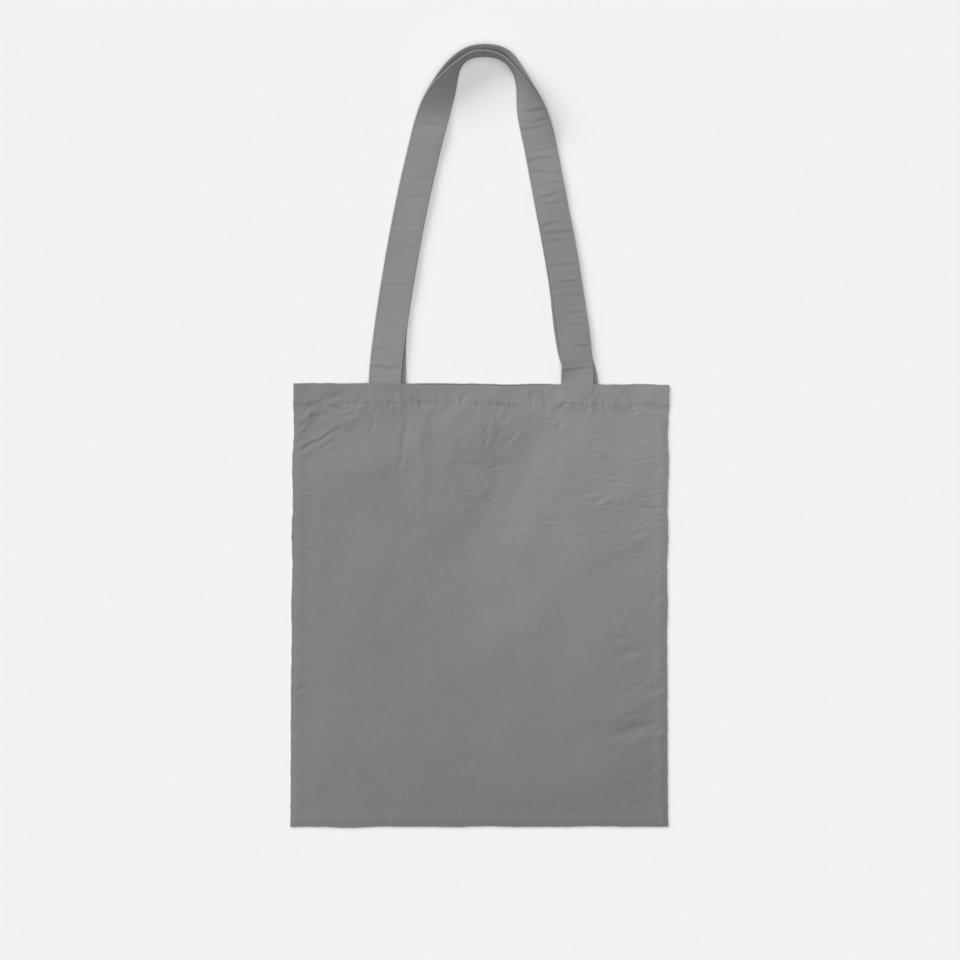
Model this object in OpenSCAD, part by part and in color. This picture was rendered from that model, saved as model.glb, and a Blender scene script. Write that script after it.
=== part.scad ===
// Flat cloth tote bag with two long straps, lying on its front panel.
// The origin is the centre of the front panel's outer face. +Y runs to the mouth and straps, +Z is up.

/* [Bag] */
// Width of the bag over its side seams
bag_w = 350; // [280:5:450]
// Height of the bag from the bottom seam to the mouth
bag_h = 410; // [250:5:520]
// Height that the back panel lies above the surface
bag_depth = 8; // [7.5:0.5:25]
// Width of the slope from the back panel's flat middle down to a seam
slope_w = 40; // [15:1:50]
// Thickness of one layer of cloth
cloth_t = 0.5; // [0.3:0.05:0.8]

/* [Hem and seams] */
// Height of the hem at the mouth, three layers of cloth
hem_h = 20; // [12:1:35]
// Width of the sewn-in edges inside the side and bottom seams
seam_w = 10; // [6:1:15]
// Distance of a row of stitches from the folded edge beside it
stitch_edge = 1.5; // [1:0.25:2.5]
// Width of a row of stitches
thread_w = 0.6; // [0.4:0.1:0.8]
// Height that a row of stitches stands above the cloth
thread_t = 0.2; // [0.1:0.05:0.3]
// Width of the overlock stitching along a cut edge
overlock_w = 3; // [2:0.5:4]

/* [Straps] */
// Width of a strap
strap_w = 30; // [20:1:40]
// Thickness of a strap, four layers of cloth
strap_t = 1.8; // [1.2:0.1:2.2]
// Distance between the middles of a strap's two ends
strap_span = 178; // [140:2:220]
// Height of the front strap's loop above the mouth
strap_rise = 310; // [200:5:380]
// Sideways shift of the front strap's ends from the back strap's
strap_shift = 4; // [0:0.5:6]
// Sideways shift of the top of both loops
apex_shift = 3; // [0:0.5:8]
// Distance of a strap's edge stitches from its edge
strap_stitch = 2.5; // [2:0.5:4]

/* [Lie of the straps] */
// Angle that the front strap's top stands up at
front_lean = 80; // [60:1:84]
// Angle that the back strap's top stands up at
back_lean = 86; // [80:1:88]
// Length along the loop from its top to where the strap starts to turn on edge
twist_start = 111; // [70:1:120]
// Length along the loop from its top to where the strap stands at its full angle
twist_end = 24; // [8:1:30]
// How far the middle of the twist lies from the top of the loop, towards the right leg
twist_offset = 7; // [0:1:12]
// Distance between the two straps where they stand on edge, for straps up to plain_strap_w wide
nest_gap = 5.4; // [5.4:0.1:8]
// Free height between the two straps' flat legs, for straps up to plain_strap_w wide
leg_gap = 1.4; // [1.4:0.1:3]
// Length in which a strap drops from the hem to where it lies
settle_len = 60; // [30:5:90]

/* [Clearances] */
// Gap between pieces that move past each other
body_gap = 0.3; // [0.3:0.05:0.5]
// Depth that stitches sink into the cloth
sunk = 0.05; // [0.02:0.01:0.08]

/* [Hidden] */
cloth = [0.52, 0.53, 0.53];
cloth_light = [0.56, 0.57, 0.57];
thread = [0.44, 0.45, 0.45];

mouth_y = bag_h / 2;
// A wider strap sweeps further as it turns on edge, so its gaps grow with its width
plain_strap_w = 30;
wide = max(1, strap_w / plain_strap_w);
nest = nest_gap * wide * wide;
leg_clear = leg_gap * wide;
bottom_y = -bag_h / 2;
side_x = bag_w / 2;
hem_t = 3 * cloth_t;
// The two panels' sewn-in edges lie together on the front panel
inner_z = 3 * cloth_t;
hem_y = mouth_y - hem_h;
stitch_y = hem_y + stitch_edge;
// Outer face of the back panel along its seams
edge_z = inner_z + thread_t + body_gap + hem_t;

slope_steps = 8;
middle_steps = 6;
hem_step = 0.5;
leg_steps = 14;
arch_steps = 26;

// Shape of a loop: where the leg turns into the arch, as shares of half the span and of the rise
knee = [0.66, 0.62];
knee_lean = 0.235;
root_handle = 0.1;
knee_handle = 0.17;
arch_handle = 0.295;
apex_handle = 0.35;
lean_from = 0.49;

// ---------- functions ----------

function clamp01(v) = max(0, min(1, v));
function smooth(v) = let (c = clamp01(v)) c * c * (3 - 2 * c);

// Height of the back panel's outer face
function panel_z(x, y) =
    edge_z + (bag_depth - edge_z) * smooth((side_x - abs(x)) / slope_w) * smooth((y - bottom_y) / slope_w);

// Grid lines across the bag, close together on the slopes
function grid_x() = concat(
    [for (i = [0 : slope_steps]) -side_x + slope_w * i / slope_steps],
    [for (i = [1 : middle_steps - 1]) (side_x - slope_w) * (2 * i / middle_steps - 1)],
    [for (i = [0 : slope_steps]) side_x - slope_w + slope_w * i / slope_steps]
);
// Grid lines up the bag, with a step at the hem
function grid_y() = concat(
    [for (i = [0 : slope_steps]) bottom_y + slope_w * i / slope_steps],
    [for (i = [1 : middle_steps]) let (low = bottom_y + slope_w) low + (hem_y - hem_step - low) * i / middle_steps],
    [hem_y, (hem_y + mouth_y) / 2, mouth_y]
);

function bezier(p, t) =
    p[0] * pow(1 - t, 3) + p[1] * 3 * t * pow(1 - t, 2) + p[2] * 3 * t * t * (1 - t) + p[3] * pow(t, 3);
function bezier_way(p, t) =
    (p[1] - p[0]) * pow(1 - t, 2) + (p[2] - p[1]) * 2 * t * (1 - t) + (p[3] - p[2]) * t * t;

// Left half of a loop seen from above, as two curves: the leg and the arch
function half_span() = strap_span / 2;
function knee_point() = [-half_span() * knee[0], mouth_y + body_gap + strap_rise * knee[1]];
function leg_curve() = [
    [-half_span(), mouth_y + body_gap],
    [-half_span(), mouth_y + body_gap + strap_rise * root_handle],
    knee_point() - [knee_lean, 1] * strap_rise * knee_handle,
    knee_point()
];
function arch_curve() = [
    knee_point(),
    knee_point() + [knee_lean, 1] * strap_rise * arch_handle,
    [apex_shift - half_span() * apex_handle, mouth_y + body_gap + strap_rise],
    [apex_shift, mouth_y + body_gap + strap_rise]
];

function unit(v) = v / norm(v);
// A point of the loop and its outward direction, for each ring of the left half
function left_half() = concat(
    [for (i = [0 : leg_steps]) let (c = leg_curve(), t = i / leg_steps) [bezier(c, t), unit(bezier_way(c, t))]],
    [for (i = [1 : arch_steps]) let (c = arch_curve(), t = i / arch_steps) [bezier(c, t), unit(bezier_way(c, t))]]
);
// The right half mirrors the left, and leans over by the shift of the top
function lean_share(y) =
    smooth(((y - mouth_y - body_gap) / strap_rise - lean_from) / (1 - lean_from));
function to_right(ring) = [
    [-ring[0][0] + 2 * apex_shift * lean_share(ring[0][1]), ring[0][1]],
    [ring[1][0], -ring[1][1]]
];
function loop_rings() =
    let (left = left_half(), n = len(left))
    concat(left, [for (i = [n - 2 : -1 : 0]) to_right(left[i])]);

// Length along the loop up to each ring
function lengths(rings, i = 0, sum = 0, out = []) =
    i == len(rings) ? out
    : let (s = i == 0 ? 0 : sum + norm(rings[i][0] - rings[i - 1][0]))
      lengths(rings, i + 1, s, concat(out, [s]));

// Centre, width direction and normal of each ring: front is true for the strap on the front panel
function strap_frames(front) =
    let (
        rings = loop_rings(),
        along = lengths(rings),
        total = along[len(along) - 1],
        top = along[(len(along) - 1) / 2]
    )
    [for (i = [0 : len(rings) - 1])
        let (
            from_top = abs(along[i] - top - twist_offset),
            from_root = min(along[i], total - along[i]),
            twist = smooth((twist_start - from_top) / (twist_start - twist_end)),
            settle = smooth(from_root / settle_len),
            out = [-rings[i][1][1], rings[i][1][0]],
            lean = front_lean * twist + (front ? 0 : (back_lean - front_lean) * twist * twist),
            root_z = front ? inner_z : bag_depth - hem_t - strap_t,
            lie_z = front ? 0 : (strap_t + leg_clear) * (1 - twist),
            low_z = root_z + (lie_z - root_z) * settle,
            plan = rings[i][0] + (front ? [strap_shift * (1 - settle), 0] : -out * nest * twist),
            mid_z = low_z + strap_w / 2 * sin(lean) + strap_t / 2 * cos(lean)
        )
        [
            [plan[0], plan[1], mid_z],
            [out[0] * cos(lean), out[1] * cos(lean), sin(lean)],
            [-out[0] * sin(lean), -out[1] * sin(lean), cos(lean)]
        ]
    ];

// Positions across a strap, with grid lines at both edges of each row of stitches
stitch_in = strap_w / 2 - strap_stitch - thread_w;
stitch_out = strap_w / 2 - strap_stitch;
function strap_lines() = [-strap_w / 2, -stitch_out, -stitch_in, 0, stitch_in, stitch_out, strap_w / 2];

// ---------- shared shapes ----------

// A closed solid through rings: the first half of a ring's points runs out and the second half runs back beside it
module swept(rings) {
    n = len(rings);
    m = len(rings[0]);
    last = (n - 1) * m;
    polyhedron(
        points = [for (r = rings) each r],
        faces = concat(
            [for (k = [0 : m / 2 - 2]) [k, k + 1, m - 2 - k, m - 1 - k]],
            [for (k = [0 : m / 2 - 2]) [last + m - 1 - k, last + m - 2 - k, last + k + 1, last + k]],
            [for (i = [0 : n - 2]) for (k = [0 : m - 1])
                let (a = i * m + k, b = i * m + (k + 1) % m) each [[a, a + m, b], [b, a + m, b + m]]]
        )
    );
}

// Part of a strap between the given lines across it, from low to high along its normal
module strap_band(front, lines, low, high) {
    swept([for (f = strap_frames(front)) concat(
        [for (a = lines) f[0] + f[1] * a + f[2] * high],
        [for (i = [len(lines) - 1 : -1 : 0]) f[0] + f[1] * lines[i] + f[2] * low]
    )]);
}

module strap_loop(front) {
    color(front ? cloth : cloth_light)
        strap_band(front, strap_lines(), -strap_t / 2, strap_t / 2);
}

// One row of stitches on a strap's upper face: side is 1 for its outer edge and -1 for its inner edge
module strap_thread(front, side) {
    edges = side > 0 ? [stitch_in, stitch_out] : [-stitch_out, -stitch_in];
    color(thread)
        strap_band(front, edges, strap_t / 2 - sunk, strap_t / 2 + thread_t - sunk);
}

// A box between two corners
module block(low, high) {
    translate(low)
        cube(high - low);
}

// The end of a strap on the inner face of the hem
module strap_end(side, front) {
    x = side * half_span() + (front ? strap_shift : 0);
    low = front ? inner_z : bag_depth - hem_t - strap_t;
    color(front ? cloth : cloth_light)
        block([x - strap_w / 2, hem_y, low], [x + strap_w / 2, mouth_y, low + strap_t]);
}

// Two rows of stitches that hold a strap's end, above the hem's own row and below the mouth
module tack(side, front) {
    x = side * half_span() + (front ? strap_shift : 0);
    low = (front ? inner_z + strap_t : bag_depth) - sunk;
    reach = strap_w / 2 - strap_stitch;
    color(thread)
        for (y = [stitch_y + 2 * thread_w, mouth_y - stitch_edge - thread_w])
            block([x - reach, y, low], [x + reach, y + thread_w, low + thread_t]);
}

// A flat row of stitches on the sewn-in edges and hem of the front panel
module flat_row(low, high) {
    color(thread)
        block([low[0], low[1], inner_z - sunk], [high[0], high[1], inner_z - sunk + thread_t]);
}

module side_seam_thread(side) {
    x = side * (side_x - stitch_edge - thread_w / 2);
    flat_row([x - thread_w / 2, bottom_y + stitch_edge], [x + thread_w / 2, mouth_y]);
}

module side_overlock(side) {
    x = side * (side_x - seam_w + overlock_w / 2);
    flat_row([x - overlock_w / 2, bottom_y + seam_w], [x + overlock_w / 2, hem_y - stitch_edge]);
}

// ---------- sub-parts ----------

module front_panel() {
    color(cloth) {
        block([-side_x, bottom_y, 0], [side_x, mouth_y, cloth_t]);
        block([-side_x, hem_y, 0], [side_x, mouth_y, hem_t]);
        block([-side_x, bottom_y, 0], [side_x, bottom_y + seam_w, inner_z]);
        for (side = [-1, 1])
            translate([side * (side_x - seam_w / 2), 0, inner_z / 2])
                cube([seam_w, bag_h, inner_z], center = true);
    }
}

module back_panel() {
    xs = grid_x();
    color(cloth_light)
        swept([for (y = grid_y())
            let (t = y >= hem_y ? hem_t : cloth_t)
            concat(
                [for (x = xs) [x, y, panel_z(x, y) - t]],
                [for (i = [len(xs) - 1 : -1 : 0]) [xs[i], y, panel_z(xs[i], y)]]
            )
        ]);
}

module back_hem_thread() {
    xs = grid_x();
    color(thread)
        swept([for (x = xs)
            let (z = panel_z(x, stitch_y) - sunk)
            [
                [x, stitch_y, z],
                [x, stitch_y, z + thread_t],
                [x, stitch_y + thread_w, z + thread_t],
                [x, stitch_y + thread_w, z]
            ]
        ]);
}

module front_hem_thread() {
    reach = side_x - seam_w;
    flat_row([-reach, stitch_y], [reach, stitch_y + thread_w]);
}

module bottom_seam_thread() {
    reach = side_x - 2 * stitch_edge - thread_w;
    flat_row([-reach, bottom_y + stitch_edge], [reach, bottom_y + stitch_edge + thread_w]);
}

module bottom_overlock_thread() {
    reach = side_x - seam_w - stitch_edge;
    flat_row([-reach, bottom_y + seam_w - overlock_w], [reach, bottom_y + seam_w]);
}

front_panel();
back_panel();
strap_loop(true);  // front_strap
strap_loop(false);  // back_strap
strap_end(-1, true);  // front_strap_left_end
strap_end(1, true);  // front_strap_right_end
strap_end(-1, false);  // back_strap_left_end
strap_end(1, false);  // back_strap_right_end
front_hem_thread();
back_hem_thread();
side_seam_thread(-1);  // left_seam_thread
side_seam_thread(1);  // right_seam_thread
bottom_seam_thread();
side_overlock(-1);  // left_overlock_thread
side_overlock(1);  // right_overlock_thread
bottom_overlock_thread();
strap_thread(true, -1);  // front_strap_inner_thread
strap_thread(true, 1);  // front_strap_outer_thread
strap_thread(false, -1);  // back_strap_inner_thread
strap_thread(false, 1);  // back_strap_outer_thread
tack(-1, true);  // front_left_tack_thread
tack(1, true);  // front_right_tack_thread
tack(-1, false);  // back_left_tack_thread
tack(1, false);  // back_right_tack_thread
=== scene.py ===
"""A flat cloth tote bag with two long straps, lying on its front panel, seen from straight above.

Shapes are worked out in millimetres, with +Y towards the mouth and +Z up, and are scaled to metres
when a mesh is made.
"""

import math
from collections import namedtuple

import bmesh
import bpy
import numpy as np
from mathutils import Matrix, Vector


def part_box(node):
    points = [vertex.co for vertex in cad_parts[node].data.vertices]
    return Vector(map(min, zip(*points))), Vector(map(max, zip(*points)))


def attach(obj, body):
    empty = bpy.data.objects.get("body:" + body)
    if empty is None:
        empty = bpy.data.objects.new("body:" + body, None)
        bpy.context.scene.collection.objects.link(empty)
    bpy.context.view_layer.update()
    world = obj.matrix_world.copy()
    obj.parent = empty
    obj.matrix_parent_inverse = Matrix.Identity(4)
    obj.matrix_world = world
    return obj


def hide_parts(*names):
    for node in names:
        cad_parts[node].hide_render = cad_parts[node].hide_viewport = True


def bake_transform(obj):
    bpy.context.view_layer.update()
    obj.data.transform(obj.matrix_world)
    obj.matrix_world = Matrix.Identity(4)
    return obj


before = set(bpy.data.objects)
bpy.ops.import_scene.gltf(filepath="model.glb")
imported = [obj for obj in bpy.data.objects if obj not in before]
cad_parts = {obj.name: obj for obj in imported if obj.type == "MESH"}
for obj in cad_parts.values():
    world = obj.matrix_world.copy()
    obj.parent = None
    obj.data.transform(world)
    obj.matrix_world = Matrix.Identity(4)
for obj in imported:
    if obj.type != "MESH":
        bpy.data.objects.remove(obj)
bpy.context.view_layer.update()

MM = 0.001

# ---------- sizes read from the frame, in millimetres ----------


def node_box(node):
    """Lowest and highest corner of a CAD node, in millimetres."""
    low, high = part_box(node)
    return np.array(low) / MM, np.array(high) / MM


panel_low, panel_high = node_box("front_panel")
end_low, end_high = node_box("back_strap_left_end")
right_end_low = node_box("back_strap_right_end")[0]
front_end_low = node_box("front_strap_left_end")[0]
loop_low = node_box("front_strap")[0]

SIDE = panel_high[0]
MOUTH = panel_high[1]
BOTTOM = panel_low[1]
HEM_Y = end_low[1]
HEM_T = panel_high[2]
CLOTH_T = HEM_T / 3
STRAP_W = end_high[0] - end_low[0]
STRAP_T = end_high[2] - end_low[2]
HALF_SPAN = (right_end_low[0] - end_low[0]) / 2
STRAP_SHIFT = front_end_low[0] - end_low[0]
BACK_ROOT_Z = end_low[2]
FRONT_ROOT_Z = front_end_low[2]
LOOP_ROOT = loop_low[1]

# ---------- sizes of the sewing ----------

SEAM_W = 10
HEM_STITCH = HEM_Y + 1.8
STITCH_PITCH = 4.0
STITCH_LENGTH = 3.0
STITCH_W = 0.55
STRAP_STITCH = STRAP_W / 2 - 2.6
SEAM_STITCH = 1.8
LOW_TACK = HEM_STITCH + 1.3
HIGH_TACK = MOUTH - 2.2
TACK_REACH = STRAP_W / 2 - 2.5

# ---------- shape of the straps, as in the design ----------

STRAP_RISE = 310
APEX_SHIFT = 3
LEAN_FROM = 0.49
FRONT_LEAN = 80
BACK_LEAN = 86
TWIST_START = 111
TWIST_END = 24
TWIST_OFFSET = 7
NEST_GAP = 5.4
LEG_GAP = 1.4
SETTLE = 60
KNEE = (0.66, 0.62)
KNEE_LEAN = 0.235
ROOT_HANDLE = 0.1
KNEE_HANDLE = 0.17
ARCH_HANDLE = 0.295
APEX_HANDLE = 0.35
FRONT_NEST = 3.3
CURL = 50
CURL_START = 78
CURL_END = 16
STRAP_LIFT = 0.3
ROLL = 16
ROLL_FROM, ROLL_TO, ROLL_FADE = 24, 200, 60
ROLL_SHIFT = 1.0
LOOP_STEP = 1.4
END_STEP = 1.9

# ---------- helpers ----------


def smooth(v):
    c = np.clip(v, 0, 1)
    return c * c * (3 - 2 * c)


def bump(v, width):
    """A soft hill of height 1 at v = 0."""
    return np.exp(-((v / width) ** 2))


def ripples(x, y, length, seed, count=18):
    """A smooth random surface between about -1 and 1, with waves of about that length."""
    rng = np.random.default_rng(seed)
    total = np.zeros(np.broadcast(x, y).shape)
    for _ in range(count):
        way = rng.uniform(0, 2 * math.pi)
        turns = 2 * math.pi / (length * rng.uniform(0.7, 1.5))
        phase = rng.uniform(0, 2 * math.pi)
        total += np.sin((x * math.cos(way) + y * math.sin(way)) * turns + phase)
    return total * math.sqrt(2 / count) / 1.6


def unit(v):
    return v / np.linalg.norm(v, axis=-1, keepdims=True)


def make_mesh(name, points, quads, uv=None, normals=None):
    """A smooth mesh object from points and four-sided faces. uv is each point's place on the flat cloth."""
    mesh = bpy.data.meshes.new(name)
    points = np.asarray(points, float) * MM
    quads = np.asarray(quads, int)
    mesh.from_pydata(points.tolist(), [], quads.tolist())
    if uv is not None:
        layer = mesh.uv_layers.new(name="UVMap")
        corner = np.zeros(len(mesh.loops), int)
        mesh.loops.foreach_get("vertex_index", corner)
        layer.data.foreach_set("uv", (np.asarray(uv, float)[corner] * MM).ravel())
    mesh.shade_smooth()
    if normals is not None:
        mesh.normals_split_custom_set(normals)
    mesh.validate()
    piece = bpy.data.objects.new(name, mesh)
    bpy.context.scene.collection.objects.link(piece)
    return piece


# ---------- materials ----------


WEAVE_PITCH = 0.62
# Painted light and shade, a slow change of colour: share per metre up the cloth, its greatest share, and
# the height at which the painted change across the cloth stops growing
PAINTED_SHADE_UP = 0.58
PAINTED_SHADE_MOST = 0.09
PAINTED_SHADE_TOP = 0.11


def cloth_material(name, colour, painted_shade_across=0.0):
    """Plain-weave cotton: over-and-under threads, slubs, faint mottling and painted shade that changes slowly.
    """
    material = bpy.data.materials.new(name)
    material.use_nodes = True
    nodes, links = material.node_tree.nodes, material.node_tree.links
    shader = nodes["Principled BSDF"]
    shader.inputs["Roughness"].default_value = 0.93
    shader.inputs["Specular IOR Level"].default_value = 0.18
    shader.inputs["Sheen Weight"].default_value = 0.12
    shader.inputs["Sheen Roughness"].default_value = 0.55

    def node(kind, **values):
        n = nodes.new(kind)
        for key, value in values.items():
            setattr(n, key, value)
        return n

    def math_node(operation, a, b=None):
        n = node("ShaderNodeMath", operation=operation)
        for socket, value in zip(n.inputs, (a, b)):
            if value is None:
                continue
            if isinstance(value, (int, float)):
                socket.default_value = value
            else:
                links.new(value, socket)
        return n.outputs[0]

    def add(a, b):
        return math_node("ADD", a, b)

    def times(a, b):
        return math_node("MULTIPLY", a, b)

    def noise(vector, scale, detail=2.0, roughness=0.5):
        n = node("ShaderNodeTexNoise")
        n.inputs["Scale"].default_value = scale
        n.inputs["Detail"].default_value = detail
        n.inputs["Roughness"].default_value = roughness
        links.new(vector, n.inputs["Vector"])
        return n.outputs["Fac"]

    def stretched(vector, x, y):
        n = node("ShaderNodeMapping")
        n.inputs["Scale"].default_value = (x, y, 1)
        links.new(vector, n.inputs["Vector"])
        return n.outputs["Vector"]

    uv = node("ShaderNodeUVMap", uv_map="UVMap").outputs["UV"]
    place = node("ShaderNodeTexCoord").outputs["Object"]

    # Threads that wander a little, so that the weave isn't a perfect grid
    wander = noise(uv, 90)
    parts = node("ShaderNodeSeparateXYZ")
    links.new(uv, parts.inputs[0])
    turns = 2 * math.pi / (2 * WEAVE_PITCH * MM)
    across = add(times(parts.outputs["X"], turns), times(wander, 9.0))
    along = add(times(parts.outputs["Y"], turns), times(wander, 7.0))
    weave = times(math_node("SINE", across), math_node("SINE", along))
    weft_slubs = noise(stretched(uv, 60, 1400), 1.0, 3.0)
    warp_slubs = noise(stretched(uv, 1400, 60), 1.0, 3.0)
    slubs = add(weft_slubs, warp_slubs)
    fuzz = noise(uv, 2600)
    height = add(times(weave, 0.30), times(slubs, 0.85))
    height = add(height, times(fuzz, 0.35))
    relief = node("ShaderNodeBump")
    relief.inputs["Strength"].default_value = 0.55
    relief.inputs["Distance"].default_value = 0.22 * MM
    links.new(height, relief.inputs["Height"])
    links.new(relief.outputs["Normal"], shader.inputs["Normal"])

    # Colour: painted shade, lighter towards the mouth and, for the panel's cloth, lighter to the upper right
    # and darker to the lower right; mottling, and variation from thread to thread
    up = node("ShaderNodeSeparateXYZ")
    links.new(place, up.inputs[0])
    painted_shade = math_node("MINIMUM", times(up.outputs["Y"], PAINTED_SHADE_UP), PAINTED_SHADE_MOST)
    above = times(add(math_node("MINIMUM", up.outputs["Y"], PAINTED_SHADE_TOP), PAINTED_SHADE_TOP), painted_shade_across)
    painted_shade = add(painted_shade, times(up.outputs["X"], above))
    mottle = times(math_node("SUBTRACT", noise(place, 14, 3.0, 0.6), 0.5), 0.10)
    threads = times(math_node("SUBTRACT", slubs, 1.0), 0.11)
    grain = times(math_node("SUBTRACT", fuzz, 0.5), 0.12)
    level = add(add(add(painted_shade, mottle), add(threads, grain)), 1.0)
    tint = node("ShaderNodeVectorMath", operation="SCALE")
    tint.inputs[0].default_value = colour
    links.new(level, tint.inputs["Scale"])
    links.new(tint.outputs[0], shader.inputs["Base Color"])
    return material


def thread_material(name, colour):
    """Sewing thread, with a fine grain and a faint shine."""
    material = bpy.data.materials.new(name)
    material.use_nodes = True
    nodes, links = material.node_tree.nodes, material.node_tree.links
    shader = nodes["Principled BSDF"]
    shader.inputs["Roughness"].default_value = 0.7
    shader.inputs["Specular IOR Level"].default_value = 0.3
    shader.inputs["Sheen Weight"].default_value = 0.1
    place = nodes.new("ShaderNodeTexCoord")
    grain = nodes.new("ShaderNodeTexNoise")
    grain.inputs["Scale"].default_value = 1500
    links.new(place.outputs["Object"], grain.inputs["Vector"])
    ramp = nodes.new("ShaderNodeMix")
    ramp.data_type = "RGBA"
    ramp.inputs[6].default_value = (*[c * 0.85 for c in colour], 1)
    ramp.inputs[7].default_value = (*[c * 1.12 for c in colour], 1)
    links.new(grain.outputs["Fac"], ramp.inputs[0])
    links.new(ramp.outputs[2], shader.inputs["Base Color"])
    relief = nodes.new("ShaderNodeBump")
    relief.inputs["Strength"].default_value = 0.4
    relief.inputs["Distance"].default_value = 0.05 * MM
    links.new(grain.outputs["Fac"], relief.inputs["Height"])
    links.new(relief.outputs["Normal"], shader.inputs["Normal"])
    return material


# The panel's cloth gets painted shade across it: lighter to the upper right, darker to the lower right
PANEL_CLOTH = cloth_material("panel_cloth", (0.2245, 0.2262, 0.2252), painted_shade_across=2.6)
STRAP_CLOTH = cloth_material("strap_cloth", (0.2390, 0.2412, 0.2401))
THREAD = thread_material("thread", (0.236, 0.238, 0.237))


def finish_piece(piece, material, slot, *nodes):
    """Gives a piece its material and hides the CAD nodes that it stands for. The slot is not used."""
    piece.data.materials.append(material)
    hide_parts(*nodes)
    return piece


# ---------- shape of the panels ----------

# Outline of the bag as it lies: how far its left and right edges are from straight, at the bottom, in the
# middle and at the mouth
LEFT_EDGE = (-2.1, -0.6, 1.5)
RIGHT_EDGE = (-1.7, -2.8, -1.2)
MOUTH_TILT = 0.7

# Creases: middle x and y, direction in degrees, length, width and depth
CREASES = [
    (-71, 158, 84, 54, 3.0, 1.10),
    (-76, 132, 70, 22, 2.0, 0.50),
    (-160, 147, 31, 36, 2.0, 1.00),
    (-154, 168, 33, 44, 3.2, 0.85),
    (-160, 181, 24, 28, 2.4, 0.60),
    (-146, 183, 50, 20, 2.0, 0.45),
    (-122, 160, 30, 28, 2.6, 0.45),
    (-163, 104, 2, 16, 1.4, 0.40),
    (-168, -67, 3, 16, 2.0, 0.50),
    (-5, 25, 25, 9, 1.2, 0.40),
    (156, 154, 2, 22, 1.3, 0.45),
    (140, 158, -3, 14, 1.2, 0.35),
    (109, 121, 3, 18, 1.2, 0.45),
    (124, 120, 6, 20, 1.2, 0.45),
    (138, 113, 4, 12, 1.2, 0.40),
    (101, 103, 5, 18, 1.4, 0.50),
    (113, 99, 24, 26, 2.6, 0.65),
    (160, 90, 0, 30, 1.8, 0.95),
    (150, 102, -12, 22, 1.6, 0.45),
    (66, 79, 1, 30, 1.4, 0.50),
    (84, 76, -35, 16, 1.6, 0.40),
    (92, 128, 12, 14, 1.2, 0.35),
    (147, 66, 28, 30, 3.0, 0.50),
    (140, -43, 8, 34, 3.2, 0.80),
    (145, -116, 14, 66, 4.6, 1.30),
    (160, -77, 6, 34, 3.0, 0.70),
    (165, 6, 32, 20, 2.6, 0.60),
    (30, 158, 62, 24, 2.0, 0.40),
    (74, 166, 50, 24, 2.2, 0.45),
    (-138, 193, 22, 30, 3.2, 0.95),
    (-166, 188, 55, 24, 3.0, 0.90),
    (-136, 182, -6, 26, 2.2, 0.80),
    (-116, 188, 60, 18, 2.4, 0.50),
    (-42, 191, 70, 18, 3.0, 0.65),
    (-16, 193, 35, 20, 2.4, 0.60),
    (47, 190, 80, 22, 3.4, 0.70),
    (72, 178, -50, 18, 3.0, 0.60),
    (152, 184, -8, 26, 2.6, 0.65),
]

# Broad soft folds: middle x and y, direction in degrees, length, width and height
FOLDS = [
    (24, 108, 57, 190, 31, -5.6),
    (-4, 158, 30, 60, 30, 1.6),
    (-116, 118, 26, 70, 26, 1.8),
    (50, -2, 40, 46, 24, 1.7),
    (96, 52, 40, 46, 24, 1.5),
    (120, -160, 20, 160, 30, 1.5),
    (-160, 160, 32, 64, 6, -1.3),
    (-20, 166, 42, 84, 24, 1.5),
    (66, 112, 62, 100, 15, 1.5),
    (128, 166, 80, 50, 22, -1.0),
    (-52, 60, 40, 90, 26, 1.0),
    (60, 10, 50, 80, 22, 1.3),
    (-108, 132, 20, 90, 15, 2.0),
    (-27, 160, 76, 76, 10, 1.7),
    (-54, 148, 88, 90, 8, 2.0),
    (-134, 174, 32, 60, 9, 1.3),
    (68, 158, 112, 70, 11, 1.2),
    (124, 142, -38, 80, 11, 1.4),
    (122, 98, 14, 80, 10, 1.1),
    (148, 116, -40, 50, 9, 1.0),
    (140, 60, 24, 80, 12, 1.2),
    (-95, 30, 78, 170, 22, 1.1),
    (84, -60, 82, 170, 22, 1.2),
    (-20, -150, 8, 200, 20, -1.0),
    (132, -98, 16, 90, 11, 1.6),
    (-130, -110, 60, 110, 20, 1.0),
    (10, -40, 30, 120, 22, 1.1),
    (-150, 60, 84, 90, 10, 0.9),
]

# Areas of scattered small creases: middle x and y, reach in x and y, direction in degrees, how many, and
# the greatest length, width and depth
CREASED = [
    (-156, 172, 20, 20, 33, 22, 38, 2.6, 0.85),
    (-70, 168, 34, 14, 78, 12, 26, 2.2, 0.50),
    (20, 158, 44, 18, 66, 14, 26, 2.4, 0.45),
    (118, 116, 38, 34, 6, 34, 26, 1.5, 0.42),
    (158, 130, 12, 40, 2, 12, 24, 1.5, 0.42),
    (64, 84, 22, 16, -4, 10, 22, 1.4, 0.45),
    (144, -85, 20, 46, 10, 20, 34, 2.4, 0.65),
    (-166, 20, 5, 110, 6, 26, 18, 1.6, 0.50),
    (166, -30, 5, 110, 4, 24, 18, 1.6, 0.45),
    (0, -196, 120, 5, 88, 26, 14, 1.6, 0.35),
    (0, 0, 110, 120, 8, 46, 24, 1.6, 0.22),
    (-110, 130, 30, 26, 10, 10, 24, 1.8, 0.35),
]


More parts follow.
